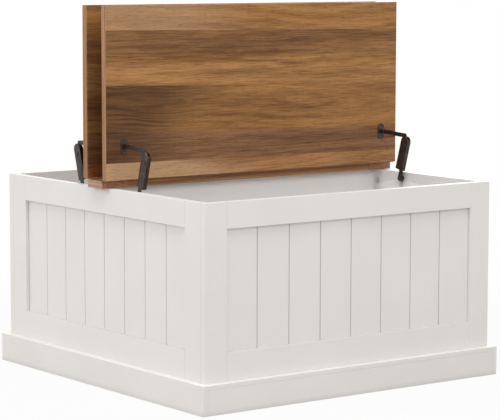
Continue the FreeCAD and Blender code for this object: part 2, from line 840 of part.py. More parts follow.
def check_table():
    """Stop if any object failed, or if any sub-part is empty, broken or not made of solids."""
    for item in DOC.Objects:
        if "Invalid" in item.State or "Error" in item.State:
            raise RuntimeError(f"{item.Label} did not recompute: {item.State}")
    for label, item in NODES.items():
        shape = item.Shape
        if shape.isNull() or not shape.isValid() or not shape.Solids:
            raise RuntimeError(f"{label} has no valid solid")
        if item.Label != label:
            raise RuntimeError(f"{label} is labelled {item.Label}")
        print(f"{label}: {len(shape.Solids)} solid(s), {shape.Volume / 1000:.3f} cm3")


def write_parts():
    """Write each sub-part to a file of its own."""
    os.makedirs("parts", exist_ok=True)
    for label, item in NODES.items():
        item.Shape.exportStep(f"parts/{label}.step")


build_table()
check_table()
write_parts()
print(f"{len(NODES)} sub-parts")
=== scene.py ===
"""Looks of a square storage coffee table: a painted panelled box with two wood-look lids on folding stays.

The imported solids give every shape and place, in metres. Boards and sheet metal are copied from them with
eased edges, the grooved panels and the turned fasteners are made by node trees, and each gets its finish.
"""

import json
import logging
import math
from dataclasses import dataclass
from enum import Enum

import bmesh
import bpy
from mathutils import Matrix, Vector

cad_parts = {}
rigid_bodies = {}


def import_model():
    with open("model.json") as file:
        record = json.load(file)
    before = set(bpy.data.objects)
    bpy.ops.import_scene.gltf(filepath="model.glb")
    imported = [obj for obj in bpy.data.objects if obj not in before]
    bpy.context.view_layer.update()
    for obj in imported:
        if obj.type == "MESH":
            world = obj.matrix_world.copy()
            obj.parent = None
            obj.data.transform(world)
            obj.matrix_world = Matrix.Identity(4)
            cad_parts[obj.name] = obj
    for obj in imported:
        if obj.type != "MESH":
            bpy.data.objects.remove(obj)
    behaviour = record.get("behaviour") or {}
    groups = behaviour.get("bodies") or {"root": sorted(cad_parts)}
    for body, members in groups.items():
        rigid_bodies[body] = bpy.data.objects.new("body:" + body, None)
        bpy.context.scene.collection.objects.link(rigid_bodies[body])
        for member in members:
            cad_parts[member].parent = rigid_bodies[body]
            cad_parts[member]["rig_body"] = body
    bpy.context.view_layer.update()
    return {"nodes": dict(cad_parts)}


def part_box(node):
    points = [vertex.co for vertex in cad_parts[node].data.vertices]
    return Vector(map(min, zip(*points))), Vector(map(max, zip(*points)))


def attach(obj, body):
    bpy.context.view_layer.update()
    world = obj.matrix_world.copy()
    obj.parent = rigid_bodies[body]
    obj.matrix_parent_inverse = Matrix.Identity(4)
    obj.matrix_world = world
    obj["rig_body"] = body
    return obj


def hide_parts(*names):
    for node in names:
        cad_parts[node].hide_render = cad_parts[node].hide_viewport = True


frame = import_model()

Pair = tuple[float, float]
Triple = tuple[float, float, float]
Colour = tuple[float, float, float, float]
Stations = tuple[Pair, ...]
Node = bpy.types.Node
Socket = bpy.types.NodeSocket
Sockets = bpy.types.bpy_prop_collection
Mesh = bpy.types.Mesh
Piece = bpy.types.Object

PAINT_SLOT = "white_paint"
WOOD_SLOT = "walnut_veneer"
# Mask of open eased edges: real wear on metal and veneer bands, a painted highlight on the white paint.
EDGE_WEAR_AND_HIGHLIGHT = "edge_wear_and_highlight"
# Mask of groove bottoms and seam lines, plus painted shade on ledges; the white paint darkens where it is
# set.
GROOVE_AND_SHADE = "groove"
DRIVE = "drive"
WHITE = (1.0, 1.0, 1.0, 1.0)
UNIT = (0.0, 1.0)
NEAR = 0.1
MERGE = 2e-6
END_REACH = 2e-5
FACING = 0.9
END_FACING = 0.7
FLAT_ANGLE = math.radians(1)
SMOOTH_ANGLE = math.radians(25)
CORNER_ANGLE = math.radians(40)
log = logging.getLogger("coffee_table")


def tint(red: int, green: int, blue: int) -> Colour:
    """Turn a colour written as 0 to 255 into the linear colour that a shader takes.

    Args:
        red: Red as it shows on a screen.
        green: Green as it shows on a screen.
        blue: Blue as it shows on a screen.

    Returns:
        The linear colour, with full opacity.
    """
    shares = [part / 255 for part in (red, green, blue)]
    linear = [s / 12.92 if s <= 0.04045 else ((s + 0.055) / 1.055) ** 2.4 for s in shares]
    return linear[0], linear[1], linear[2], 1.0


def known_as(sockets: Sockets, identifier: str) -> Socket:
    """The socket that has an identifier."""
    return next(socket for socket in sockets if socket.identifier == identifier)


class Run(Enum):
    """The direction that grain or brush marks run in."""

    ACROSS = 0
    DEEP = 1
    UPRIGHT = 2

    def stretch(self, along: float, beside: float) -> tuple[float, ...]:
        """Scales for X, Y and Z that draw a pattern out along the run."""
        return tuple(along if run is self else beside for run in Run)


class HeadEnd(Enum):
    """How the outer end of a fastener is told from its inner end."""

    WIDER = "wider"
    ROOMWARD = "roomward"


class Graph:
    """A node tree with short ways to add and join its nodes."""

    def __init__(self, tree: bpy.types.NodeTree) -> None:
        """Keep the tree that nodes are added to."""
        self.tree = tree

    def add(self, kind: str, **settings: object) -> Node:
        """Add a node.

        Args:
            kind: The node's type.
            **settings: Properties to set on it.

        Returns:
            The new node.
        """
        node = self.tree.nodes.new(kind)
        for name, value in settings.items():
            setattr(node, name, value)
        return node

    def feed(self, socket: Socket, value: object) -> None:
        """Join an input to another node's output, or set it to a plain value.

        Args:
            socket: The input.
            value: An output of another node, or a plain value.
        """
        if isinstance(value, Socket):
            self.tree.links.new(value, socket)
        else:
            socket.default_value = value

    def fill(self, node: Node, **values: object) -> Node:
        """Feed several inputs of a node.

        Args:
            node: The node.
            **values: Outputs or plain values by the inputs' names, with an underscore for each space.

        Returns:
            The same node.
        """
        for name, value in values.items():
            self.feed(node.inputs[name.replace("_", " ")], value)
        return node

    def result(self, kind: str, *values: object, **settings: object) -> Socket:
        """Add a node, feed its inputs in order and take its first output.

        Args:
            kind: The node's type.
            *values: Outputs or plain values, from the first input on.
            **settings: Properties to set on it.

        Returns:
            The output.
        """
        node = self.add(kind, **settings)
        for socket, value in zip(node.inputs, values):
            self.feed(socket, value)
        return node.outputs[0]

    def calc(self, operation: str, *terms: object) -> Socket:
        """The result of one sum, whose name is the Math node's."""
        return self.result("ShaderNodeMath", *terms, operation=operation)

    def shared(self, first: Socket, second: Socket, share: float) -> Socket:
        """Two numbers mixed, with the share that the second one has."""
        return self.calc("MULTIPLY_ADD", first, 1.0 - share, self.calc("MULTIPLY", second, share))

    def vector(self, x: object, y: object, z: object) -> Socket:
        """Three numbers or outputs as one vector."""
        return self.result("ShaderNodeCombineXYZ", x, y, z)

    def parts(self, vector: Socket) -> tuple[Socket, ...]:
        """The three numbers of a vector."""
        return tuple(self.fill(self.add("ShaderNodeSeparateXYZ"), Vector=vector).outputs)

    def place(self) -> Socket:
        """Where a point is on its piece."""
        return self.add("ShaderNodeTexCoord").outputs["Object"]

    def stretched(self, vector: Socket, scales: tuple[float, ...]) -> Socket:
        """A vector with a scale to each of its numbers."""
        return self.result("ShaderNodeVectorMath", vector, scales, operation="MULTIPLY")

    def noise(self, vector: Socket, scale: float = 1.0, detail: float = 2.0) -> Socket:
        """Smooth noise round a half, with its scale and its count of finer layers."""
        node = self.add("ShaderNodeTexNoise")
        return self.fill(node, Vector=vector, Scale=scale, Detail=detail).outputs[0]

    def span(self, value: Socket, low: float, high: float, to_low: float, to_high: float) -> Socket:
        """A value moved smoothly from one range into another, and held at the ends."""
        ranges = (low, high, to_low, to_high)
        return self.result("ShaderNodeMapRange", value, *ranges, interpolation_type="SMOOTHSTEP")

    def ramp(self, factor: Socket, stops: list[tuple[float, Colour]], steps: bool = False) -> Node:
        """A colour that changes with a factor.

        Args:
            factor: What is looked up, from 0 to 1.
            stops: Places and colours, in order.
            steps: Whether the colour jumps at each place.

        Returns:
            The node, with a colour and an alpha output.
        """
        node = self.add("ShaderNodeValToRGB")
        scale = node.color_ramp
        scale.interpolation = "CONSTANT" if steps else "LINEAR"
        while len(scale.elements) > 1:
            scale.elements.remove(scale.elements[-1])
        scale.elements[0].position, scale.elements[0].color = stops[0]
        for position, colour in stops[1:]:
            scale.elements.new(position).color = colour
        self.feed(node.inputs[0], factor)
        return node

    def blend(self, factor: Socket, first: object, second: object) -> Socket:
        """Mix two colours.

        Args:
            factor: Share of the second colour.
            first: The first colour.
            second: The second colour.

        Returns:
            The output with the mixed colour.
        """
        node = self.add("ShaderNodeMix", data_type="RGBA")
        for name, value in (("Factor_Float", factor), ("A_Color", first), ("B_Color", second)):
            self.feed(known_as(node.inputs, name), value)
        return known_as(node.outputs, "Result_Color")

    def attribute(self, name: str) -> Socket:
        """A number that the piece's mesh carries, or 0 where it has none."""
        return self.add("ShaderNodeAttribute", attribute_name=name).outputs["Fac"]

    def bump(self, height: Socket, strength: float, distance: float) -> Socket:
        """Small heights as a surface direction: how much they count, and their size in metres."""
        node = self.add("ShaderNodeBump")
        return self.fill(node, Height=height, Strength=strength, Distance=distance).outputs[0]


# Finishes


@dataclass(frozen=True)
class Figure:
    """A noise pattern: its scales along the grain and across it, its finer layers and how far it counts."""

    along: float
    across: float
    detail: float = 2.0
    reach: float = 0.0

    def drawn(self, graph: Graph, place: Socket, run: Run) -> Socket:
        """The pattern drawn out along a run."""
        return graph.noise(graph.stretched(place, run.stretch(self.along, self.across)), detail=self.detail)

    def grown(self, graph: Graph, place: Socket) -> Socket:
        """The pattern in a plank's own grain, where the third number tells the planks apart."""
        return graph.noise(graph.stretched(place, (self.along, self.across, 1.0)), detail=self.detail)


@dataclass(frozen=True)
class Finish:
    """A finish of the table: what its material is called, and the record's slot that it belongs to."""

    name: str
    slot: str

    def material(self) -> bpy.types.Material:
        """Make the finish's material at its first use.

        Returns:
            The material.
        """
        known = bpy.data.materials.get(self.name)
        if known is not None:
            return known
        made = bpy.data.materials.new(self.name)
        made.use_nodes = True
        self.dress(Graph(made.node_tree), made.node_tree.nodes["Principled BSDF"].inputs)
        return made

    def dress(self, graph: Graph, shader: Sockets) -> None:
        """Join the nodes that give the finish its look."""
        raise NotImplementedError


@dataclass(frozen=True)
class SatinPaint(Finish):
    """White satin paint on board: clouds, roller marks along it, darker seams, a painted highlight on open
    edges, and painted shade in grooves, on the ledge under each panel and at the foot.
    """

    run: Run = Run.ACROSS
    light: Colour = tint(230, 227, 223)
    shade: Colour = tint(227, 224, 219)
    # Lighter colour on open edges, a painted highlight.
    edge: Colour = tint(240, 238, 235)
    # Darker colour for seam lines, and for painted shade in grooves, on the ledge and at the foot.
    groove: Colour = tint(176, 172, 167)
    roughness: Pair = (0.36, 0.48)
    # Painted shade at the foot: the paint darkens below this height above the floor.
    foot_shade_height: float = 0.013
    foot_shade_tone: float = 0.3
    marks: Figure = Figure(4.0, 130.0, 3.0)
    mark_tone: float = 0.15
    mark_height: float = 0.2
    cloud_scale: float = 6.0
    peel_scale: float = 850.0
    edge_highlight_tone: float = 0.6
    noise_range: Pair = (0.3, 0.7)
    relief: Pair = (0.1, 0.0002)

    def dress(self, graph: Graph, shader: Sockets) -> None:
        """Clouds in the colour, a painted highlight on edges, darker seams, painted shade in grooves, on
        ledges and at the foot, and roller marks and a peel in the surface.

        Args:
            graph: The material's nodes.
            shader: The inputs of its shader.
        """
        place = graph.place()
        marks = self.marks.drawn(graph, place, self.run)
        clouds = graph.noise(place, self.cloud_scale)
        peel = graph.noise(place, self.peel_scale, detail=1.0)
        tone = graph.shared(clouds, marks, self.mark_tone)
        colour = graph.blend(graph.span(tone, *self.noise_range, *UNIT), self.light, self.shade)
        # Painted highlight: open edges mixed towards the lighter edge colour.
        wear_and_highlight = graph.calc("MULTIPLY", graph.attribute(EDGE_WEAR_AND_HIGHLIGHT), self.edge_highlight_tone)
        colour = graph.blend(wear_and_highlight, colour, self.edge)
        # Darker seam lines, and painted shade in the grooves and on the ledge under each panel.
        shade_and_seams = graph.span(graph.attribute(GROOVE_AND_SHADE), *UNIT, *UNIT)
        # Painted shade darkening the foot near the floor.
        foot_shade = graph.span(graph.parts(place)[2], 0.0, self.foot_shade_height, self.foot_shade_tone, 0.0)
        shade_and_seams = graph.calc("MAXIMUM", shade_and_seams, foot_shade)
        graph.feed(shader["Base Color"], graph.blend(shade_and_seams, colour, self.groove))
        graph.feed(shader["Roughness"], graph.span(tone, *self.noise_range, *self.roughness))
        height = graph.shared(peel, marks, self.mark_height)
        graph.feed(shader["Normal"], graph.bump(height, *self.relief))


@dataclass(frozen=True)
class Plank:
    """One plank of the veneer.

    Its start is given as a share of the board's width. The heart of its rings is given along the board in
    metres from its middle, and across it as a share from -1 to 2. Sway is how far the rings swing in towards
    the heart. End_tone is how far its low end goes to dark heartwood, up to 1, or to a pale painted sheen,
    down to -1. Fade is the share of the board's width over which the tints of the plank before turn into its
    own.
    """

    start: float
    light: Colour
    dark: Colour
    heart_along: float
    heart_across: float
    sway: float
    end_tone: float = 0.0
    fade: float = 0.002


@dataclass(frozen=True)
class PlankVeneer(Finish):
    """Satin veneer laid as planks of different widths and tints, with rings, streaks, fibres and pores."""

    planks: tuple[Plank, ...] = ()
    beside: Run = Run.UPRIGHT
    through: Run = Run.DEEP
    start: float = 0.0
    width: float = 0.3705
    way: float = 1.0
    taper: float = 0.0
    rings: float = 150.0
    length: float = 0.8
    reach: float = 0.09
    heart_spread: float = 3.0
    plank_step: float = 23.0
    layer_scale: float = 40.0
    warp: Figure = Figure(2.2, 2.6, reach=0.045)
    wander: Figure = Figure(7.0, 15.0, reach=2.4)
    bands: Figure = Figure(1.4, 0.42, 3.0)
    threads: Figure = Figure(4.0, 1.8, reach=0.13)
    clouds: Figure = Figure(2.4, 13.0, reach=0.2)
    fibres: Figure = Figure(17.0, 430.0, reach=0.26)
    pores: Figure = Figure(60.0, 1200.0, 0.0)
    noise_range: Pair = (0.28, 0.72)
    tone_range: Pair = (0.17, 0.73)
    heartwood: Colour = tint(62, 35, 18)
    heart_zone: Pair = (-0.1, -0.32)
    heart_slant: Pair = (0.4, -0.25)
    heart_noise: Pair = (0.3, 0.7)
    heart_depth: Pair = (0.64, 0.94)
    # Pale colour that the low end of some planks fades to: a painted sheen.
    pale_sheen: Colour = tint(206, 168, 130)
    sheen_zone: Pair = (0.02, -0.22)
    sheen_depth: float = -0.72
    end_wobble: Pair = (0.3, -0.15)
    pore: Colour = tint(58, 36, 22)
    pore_noise: Pair = (0.6, 0.75)
    pore_depth: float = 0.4
    fibre_height: float = 0.4
    pore_height: float = -0.8
    relief: Pair = (0.25, 0.0003)
    shine: float = 0.2
    roughness: Pair = (0.34, 0.5)

    def lookup(self, graph: Graph, share: Socket, tints: list[Colour]) -> Socket:
        """Look the planks' tints up across the board.

        Args:
            graph: The material's nodes.
            share: Distance across the board as a share of its width.
            tints: One tint to each plank.

        Returns:
            The output with the tint.
        """
        stops = []
        for plank, colour in zip(self.planks, tints):
            if stops:
                stops.append((plank.start - plank.fade, stops[-1][1]))
            stops.append((plank.start, colour))
        return graph.ramp(share, stops).outputs["Color"]

    def tapered(self, graph: Graph, along: Socket, share: Socket) -> Socket:
        """The share across the board that the planks are looked up at, so that they taper along it."""
        inside = graph.calc("MULTIPLY", share, graph.calc("SUBTRACT", 1.0, share))
        return graph.calc("MULTIPLY_ADD", along, graph.calc("MULTIPLY", inside, self.taper), share)

    def ring_field(self, graph: Graph, along: Socket, share: Socket, depth: Socket) -> tuple[Socket, ...]:
        """Count growth rings from each plank's heart.

        Args:
            graph: The material's nodes.
            along: Distance along the grain.
            share: Distance across the board as a share of its width.
            depth: Distance through the board, scaled.

        Returns:
            The count of rings at a point, a number that differs from plank to plank, and the tone of the
            plank's low end.
        """
        stops = []
        for plank in self.planks:
            heart = (plank.heart_along / self.length + 0.5, (plank.heart_across + 1) / self.heart_spread)
            stops.append((plank.start, (*heart, plank.sway, (plank.end_tone + 1) / 2)))
        shape = graph.ramp(share, stops, steps=True)
        heart_along, heart_across, sway = graph.parts(shape.outputs["Color"])
        place = graph.vector(along, share, depth)
        warp = graph.calc("SUBTRACT", self.warp.grown(graph, place), 0.5)
        wander = graph.calc("MULTIPLY", self.wander.grown(graph, place), self.wander.reach)
        heart = graph.calc("MULTIPLY_ADD", heart_across, self.heart_spread, -1.0)
        away = graph.calc("MULTIPLY", graph.calc("SUBTRACT", share, heart), self.width)
        away = graph.calc("MULTIPLY_ADD", warp, self.warp.reach, away)
        beyond = graph.calc("MULTIPLY_ADD", graph.calc("SUBTRACT", 0.5, heart_along), self.length, along)
        slope = graph.calc("ARCTANGENT", graph.calc("DIVIDE", beyond, self.reach))
        swing = graph.calc("MULTIPLY", slope, sway)
        square = graph.calc("MULTIPLY_ADD", away, away, graph.calc("MULTIPLY", swing, swing))
        rings = graph.calc("MULTIPLY_ADD", graph.calc("SQRT", square), self.rings, wander)
        kind = graph.calc("MULTIPLY", graph.calc("ADD", heart_along, heart_across), self.plank_step)
        end_tone = graph.calc("MULTIPLY_ADD", shape.outputs["Alpha"], 2.0, -1.0)
        return rings, graph.calc("ADD", kind, depth), end_tone

    def dress(self, graph: Graph, shader: Sockets) -> None:
        """Planks, rings, fibres and pores in the colour, and the pores in the surface.

        Args:
            graph: The material's nodes.
            shader: The inputs of its shader.
        """
        axes = graph.parts(graph.place())
        along = graph.calc("MULTIPLY", axes[0], self.way)
        across = graph.calc("SUBTRACT", axes[self.beside.value], self.start)
        depth = graph.calc("MULTIPLY", axes[self.through.value], self.layer_scale)
        share = self.tapered(graph, along, graph.calc("DIVIDE", across, self.width))
        rings, kind, end_tone = self.ring_field(graph, along, share, depth)
        flow = graph.vector(along, rings, kind)
        straight = graph.vector(along, across, kind)
        bands, threads = (figure.grown(graph, flow) for figure in (self.bands, self.threads))
        finer = (self.clouds, self.fibres, self.pores)
        clouds, fibres, pores = (figure.grown(graph, straight) for figure in finer)
        tone = graph.span(bands, *self.noise_range, *self.tone_range)
        for noise, figure in ((threads, self.threads), (clouds, self.clouds), (fibres, self.fibres)):
            part = graph.span(noise, *self.noise_range, -figure.reach, figure.reach)
            tone = graph.calc("ADD", tone, part)
        light = self.lookup(graph, share, [plank.light for plank in self.planks])
        colour = graph.blend(tone, light, self.lookup(graph, share, [plank.dark for plank in self.planks]))
        middle, slant = self.heart_slant
        low_end = graph.calc("MULTIPLY_ADD", graph.calc("SUBTRACT", share, middle), slant, along)
        wobble = graph.calc("MULTIPLY_ADD", bands, *self.end_wobble)
        heart = graph.span(graph.calc("ADD", low_end, wobble), *self.heart_zone, *UNIT)
        heart = graph.calc("MULTIPLY", heart, graph.span(threads, *self.heart_noise, *self.heart_depth))
        colour = graph.blend(graph.calc("MULTIPLY", heart, end_tone), colour, self.heartwood)
        # Painted sheen: planks with a negative end tone pale towards their low end.
        sheen = graph.span(graph.calc("ADD", along, wobble), *self.sheen_zone, 0.0, self.sheen_depth)
        colour = graph.blend(graph.calc("MULTIPLY", sheen, end_tone), colour, self.pale_sheen)
        pores = graph.span(pores, *self.pore_noise, 0.0, self.pore_depth)
        graph.feed(shader["Base Color"], graph.blend(pores, colour, self.pore))
        graph.feed(shader["Specular IOR Level"], self.shine)
        graph.feed(shader["Roughness"], graph.span(tone, *UNIT, *self.roughness))
        pits = graph.calc("MULTIPLY", pores, self.pore_height)
        height = graph.calc("MULTIPLY_ADD", fibres, self.fibre_height, pits)
        graph.feed(shader["Normal"], graph.bump(height, *self.relief))


@dataclass(frozen=True)
class EdgeBand(Finish):
    """The veneer band along a board's edge, with straight grain along the band."""

    run: Run = Run.ACROSS
    light: Colour = tint(184, 139, 100)
    dark: Colour = tint(128, 88, 60)
    shine: float = 0.2
    roughness: Pair = (0.42, 0.56)
    streaks: Figure = Figure(3.0, 240.0, 3.0)
    fibres: Figure = Figure(14.0, 1100.0)
    fibre_tone: float = 0.3
    rubbed_tone: float = 0.35
    noise_range: Pair = (0.3, 0.7)
    relief: Pair = (0.2, 0.0002)

    def dress(self, graph: Graph, shader: Sockets) -> None:
        """Streaks and fibres along the band.

        Args:
            graph: The material's nodes.
            shader: The inputs of its shader.
        """
        place = graph.place()
        fibres = self.fibres.drawn(graph, place, self.run)
        tone = graph.shared(self.streaks.drawn(graph, place, self.run), fibres, self.fibre_tone)
        colour = graph.blend(graph.span(tone, *self.noise_range, *UNIT), self.light, self.dark)
        rubbed = graph.calc("MULTIPLY", graph.attribute(EDGE_WEAR_AND_HIGHLIGHT), self.rubbed_tone)
        graph.feed(shader["Base Color"], graph.blend(rubbed, colour, self.light))
        graph.feed(shader["Specular IOR Level"], self.shine)
        graph.feed(shader["Roughness"], graph.span(tone, *self.noise_range, *self.roughness))
        graph.feed(shader["Normal"], graph.bump(fibres, *self.relief))


@dataclass(frozen=True)
class CoatedMetal(Finish):
    """Metal with a coat or plating, cloudy in tone, fine in grain and rubbed at its edges."""

    light: Colour = tint(74, 62, 54)
    shade: Colour = tint(50, 41, 36)
    rubbed: Colour = tint(112, 92, 76)
    metallic: float = 0.5
    roughness: Pair = (0.34, 0.5)
    grain: float = 1500.0
    peel: float = 0.15
    peel_height: float = 0.0001
    cloud_scale: float = 90.0
    cloud_range: Pair = (0.32, 0.68)
    worn_range: Pair = (0.4, 0.65)
    worn_tone: Pair = (0.15, 0.9)
    grit_range: Pair = (0.25, 0.75)

    def dress(self, graph: Graph, shader: Sockets) -> None:
        """Clouds in the colour, rubbed edges, and a fine grain in the surface.

        Args:
            graph: The material's nodes.
            shader: The inputs of its shader.
        """
        place = graph.place()
        clouds = graph.noise(place, self.cloud_scale, detail=3.0)
        grit = graph.noise(place, self.grain, detail=1.0)
        colour = graph.blend(graph.span(clouds, *self.cloud_range, *UNIT), self.light, self.shade)
        wear_and_highlight = graph.span(clouds, *self.worn_range, *self.worn_tone)
        wear_and_highlight = graph.calc("MULTIPLY", graph.attribute(EDGE_WEAR_AND_HIGHLIGHT), wear_and_highlight)
        graph.feed(shader["Base Color"], graph.blend(wear_and_highlight, colour, self.rubbed))
        graph.feed(shader["Metallic"], self.metallic)
        graph.feed(shader["Roughness"], graph.span(grit, *self.grit_range, *self.roughness))
        graph.feed(shader["Normal"], graph.bump(grit, self.peel, self.peel_height))


LID_FOOT = 0.449
LID_TAPER = 0.26
BAR_START = -0.21
LID_PLANKS = (
    Plank(0.0, tint(175, 127, 81), tint(118, 77, 44), 0.28, -0.25, 0.06, -0.85),
    Plank(0.088, tint(154, 110, 73), tint(94, 62, 42), 0.3, -0.9, 0.02, 0.8),
    Plank(0.2485, tint(172, 123, 71), tint(106, 69, 38), 0.115, 0.427, 0.018, 1.0),
    Plank(0.519, tint(182, 133, 80), tint(116, 77, 42), -0.1, 1.7, 0.015),
    Plank(0.75, tint(156, 111, 68), tint(98, 64, 38), -0.1, 1.7, 0.015, fade=0.075),
    Plank(0.847, tint(172, 124, 72), tint(112, 73, 38), 0.17, 1.12, 0.05, -0.5),
)
PAINT = {run: SatinPaint(f"satin_paint_{run.name.lower()}", PAINT_SLOT, run) for run in Run}
# A lighter, cooler copy of the white paint for the inner faces and the divider: painted light inside the
# box.
INSIDE_LIGHT_PAINT = SatinPaint("white_paint_painted_light_inside", PAINT_SLOT, Run.UPRIGHT, tint(241, 241, 241), tint(238, 238, 238))
LONG_BAND = EdgeBand("edge_band_long", WOOD_SLOT, Run.ACROSS)
LID_END_BAND = EdgeBand("edge_band_lid_end", WOOD_SLOT, Run.UPRIGHT)
BAR_END_BAND = EdgeBand("edge_band_bar_end", WOOD_SLOT, Run.DEEP, tint(184, 152, 136), tint(146, 114, 100))
FRONT_VENEER = PlankVeneer("plank_veneer_front", WOOD_SLOT, LID_PLANKS, start=LID_FOOT, taper=LID_TAPER)
BACK_VENEER = PlankVeneer("plank_veneer_back", WOOD_SLOT, LID_PLANKS, start=LID_FOOT, way=-1.0,
                          taper=LID_TAPER)
BAR_VENEER = PlankVeneer("plank_veneer_bar", WOOD_SLOT, LID_PLANKS, Run.DEEP, Run.UPRIGHT, BAR_START)
BRONZE = CoatedMetal("bronzed_steel", "bronze_metal")
HINGE = CoatedMetal("bronzed_hinge", "hinge_steel", tint(164, 120, 88), tint(146, 105, 76),
                    tint(174, 132, 98), metallic=0.2, roughness=(0.45, 0.6), grain=900.0, peel=0.08)
SCREW = CoatedMetal("bronzed_screw", "screw_steel", grain=1100.0)
HINGE_SCREW = CoatedMetal("hinge_screw", "screw_steel", tint(158, 116, 85), tint(142, 102, 74),
                          tint(168, 127, 94), metallic=0.2)
ZINC = CoatedMetal("cast_zinc", "cam_zinc", tint(222, 221, 219), tint(206, 205, 204),
                   tint(228, 227, 225), metallic=0.3, roughness=(0.4, 0.55), grain=700.0, peel=0.3)


# Meshes


def link_object(name: str, mesh: Mesh) -> Piece:
    """Put a mesh into the scene as an object at the origin.

    Args:
        name: Name of the object.
        mesh: Its mesh.

    Returns:
        The object.
    """
    made = bpy.data.objects.new(name, mesh)
    bpy.context.scene.collection.objects.link(made)
    return made


def soften(mesh: Mesh) -> None:
    """Shade round faces smoothly and keep flat faces flat."""
    mesh.polygons.foreach_set("use_smooth", [True] * len(mesh.polygons))
    mesh.set_sharp_from_angle(angle=SMOOTH_ANGLE)


def merged_shape(node: str) -> bmesh.types.BMesh:
    """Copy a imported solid's loose triangles as one joined shape.

    Args:
        node: The solid.

    Returns:
        The shape, which the caller frees.
    """
    shape = bmesh.new()
    shape.from_mesh(frame["nodes"][node].data)
    bmesh.ops.remove_doubles(shape, verts=shape.verts, dist=MERGE)
    return shape


@dataclass(frozen=True)
class Easing:
    """How the outer edges of a piece are eased, in metres.

    Edges below the shortest length stay sharp. Joined gives the endings of the names of the pieces that it
    is joined to: an eased edge that touches one is a seam, and an edge near one is too sheltered to wear and
    gets none of the painted highlight that the white paint puts on open edges.
    """

    width: float
    shortest: float
    joined: tuple[str, ...] = ()
    seam_reach: float = 0.001
    shelter: float = 0.0095
    seam_tone: float = 0.5


def box_gap(point: Vector, low: Vector, high: Vector) -> float:
    """Distance from a point to the nearest point of a box."""
    return Vector([max(low[axis] - point[axis], point[axis] - high[axis], 0.0) for axis in range(3)]).length


def eased_copy(node: str, name: str, easing: Easing) -> Piece:
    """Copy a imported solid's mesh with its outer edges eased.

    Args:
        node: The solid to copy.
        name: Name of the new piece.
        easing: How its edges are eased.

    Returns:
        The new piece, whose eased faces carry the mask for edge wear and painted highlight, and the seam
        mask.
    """
    joined = [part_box(other) for other in frame["nodes"] if other != node and other.endswith(easing.joined)]
    shape = merged_shape(node)
    bmesh.ops.dissolve_limit(shape, angle_limit=FLAT_ANGLE, verts=shape.verts, edges=shape.edges)
    wear = shape.faces.layers.float.new(EDGE_WEAR_AND_HIGHLIGHT)
    groove = shape.faces.layers.float.new(GROOVE_AND_SHADE)
    edges = []
    for edge in shape.edges:
        turned = edge.is_manifold and edge.is_convex and edge.calc_face_angle() > CORNER_ANGLE
        if turned and edge.calc_length() > easing.shortest:
            edges.append(edge)
    eased = bmesh.ops.bevel(shape, geom=edges, offset=easing.width, segments=2, profile=0.5, affect="EDGES",
                            clamp_overlap=True)
    for face in eased["faces"]:
        gap = min((box_gap(face.calc_center_median(), *box) for box in joined), default=1.0)
        # Open edges carry the mask that the white paint turns into a painted highlight; touching edges get a
        # seam line.
        face[wear] = 1.0 if gap > easing.shelter else 0.0
        face[groove] = easing.seam_tone if gap < easing.seam_reach else 0.0
    mesh = bpy.data.meshes.new(name)
    shape.to_mesh(mesh)
    shape.free()
    mesh.materials.clear()
    soften(mesh)
    return link_object(name, mesh)


def settle(piece: Piece, node: str, finish: Finish) -> Piece:
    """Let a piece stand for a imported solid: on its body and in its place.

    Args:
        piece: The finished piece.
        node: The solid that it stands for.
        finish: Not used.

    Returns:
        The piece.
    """
    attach(piece, frame["nodes"][node]["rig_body"])
    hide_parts(node)
    log.info("%s stands for %s with %d faces", piece.name, node, len(piece.data.polygons))
    return piece


def plain_piece(node: str, finish: Finish, easing: Easing) -> Piece:
    """An eased copy of a solid with one finish all over.

    Args:
        node: The solid.
        finish: Its finish.
        easing: How its edges are eased.

    Returns:
        The settled piece.
    """
    piece = eased_copy(node, f"{node}.{finish.slot}", easing)
    piece.data.materials.append(finish.material())
    return settle(piece, node, finish)


